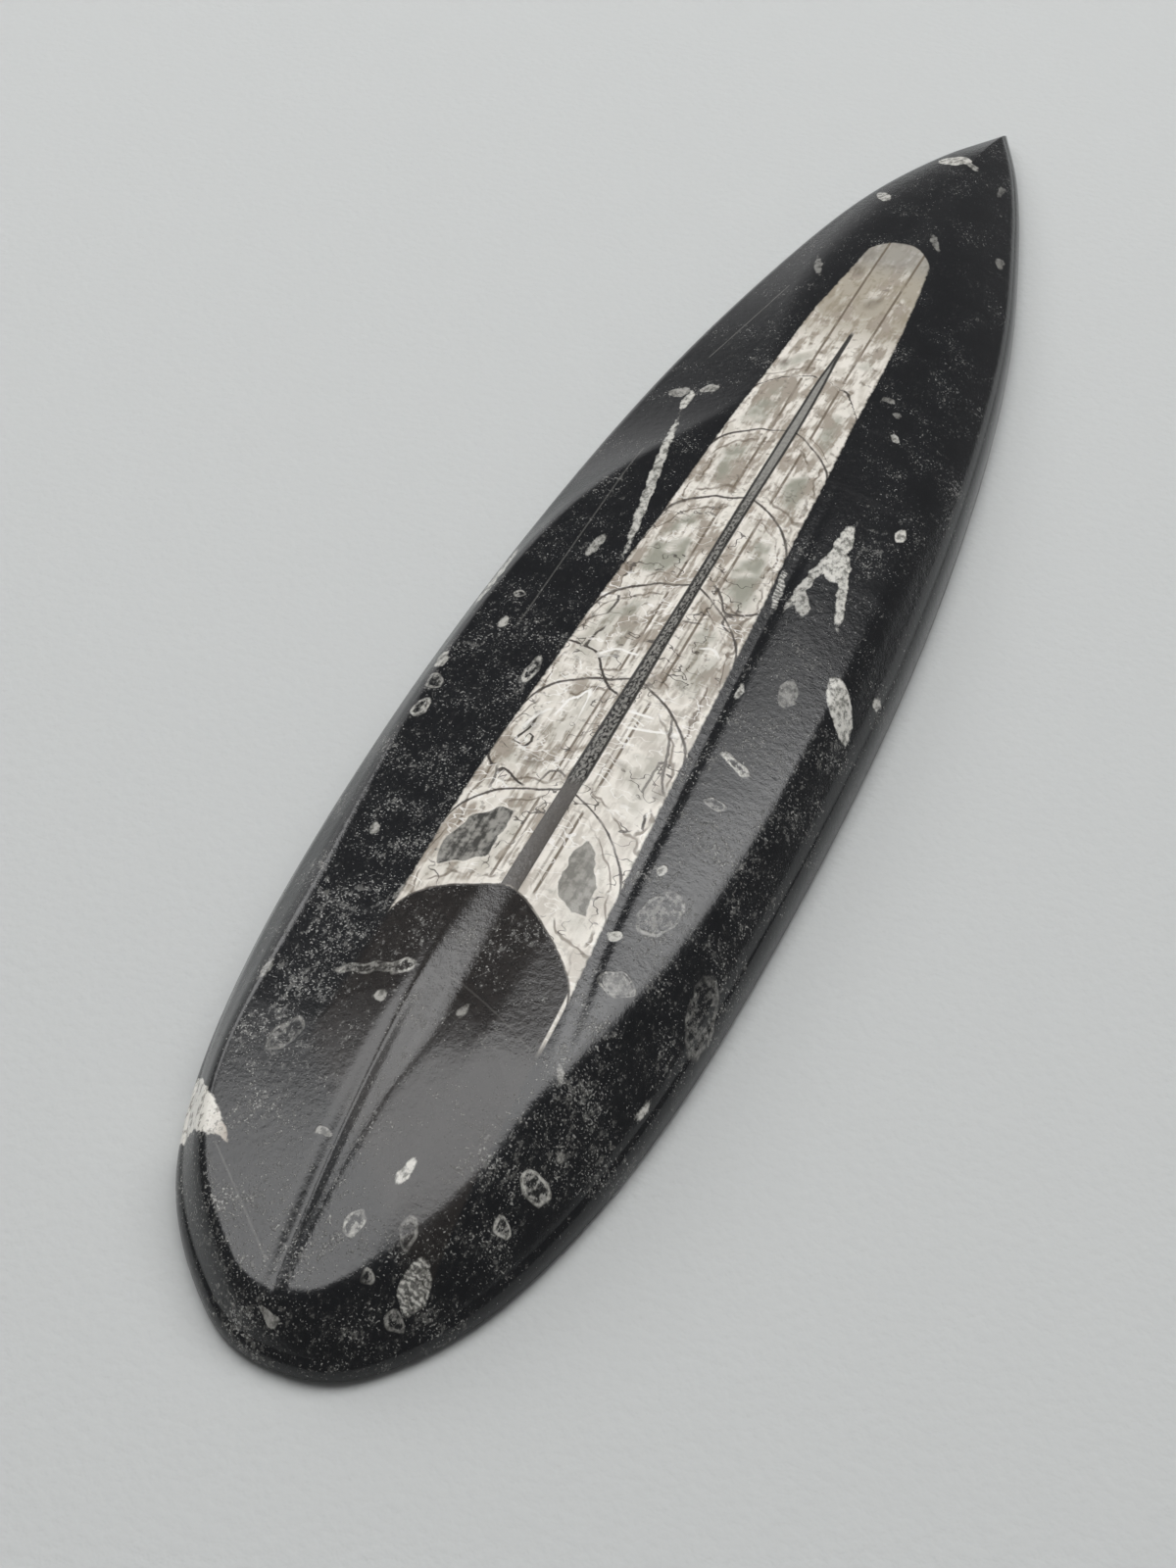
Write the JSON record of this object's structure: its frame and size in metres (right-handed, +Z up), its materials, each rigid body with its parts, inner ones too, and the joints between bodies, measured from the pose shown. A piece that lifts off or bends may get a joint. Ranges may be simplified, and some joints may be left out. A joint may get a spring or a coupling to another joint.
{
  "type": "orthoceras fossil",
  "caption": "Hand-polished leaf of black fossil limestone with a straight chambered shell along its top, lying on a flat sawn base.",
  "frame": {"origin": "middle of the flat base, at the level the stone rests on", "axes": "+Y along the stone towards its pointed end, +Z up out of the polished top, +X across it"},
  "size_m": [0.0408, 0.1828, 0.0101],
  "materials": {
    "fossil_limestone": "polished charcoal-black limestone, finely speckled with pale shell fragments, with a cream and grey calcite shell laid open along the top"
  },
  "bodies": {
    "root": {"orthoceras_stone": "fossil_limestone"}
  },
  "joints": []
}
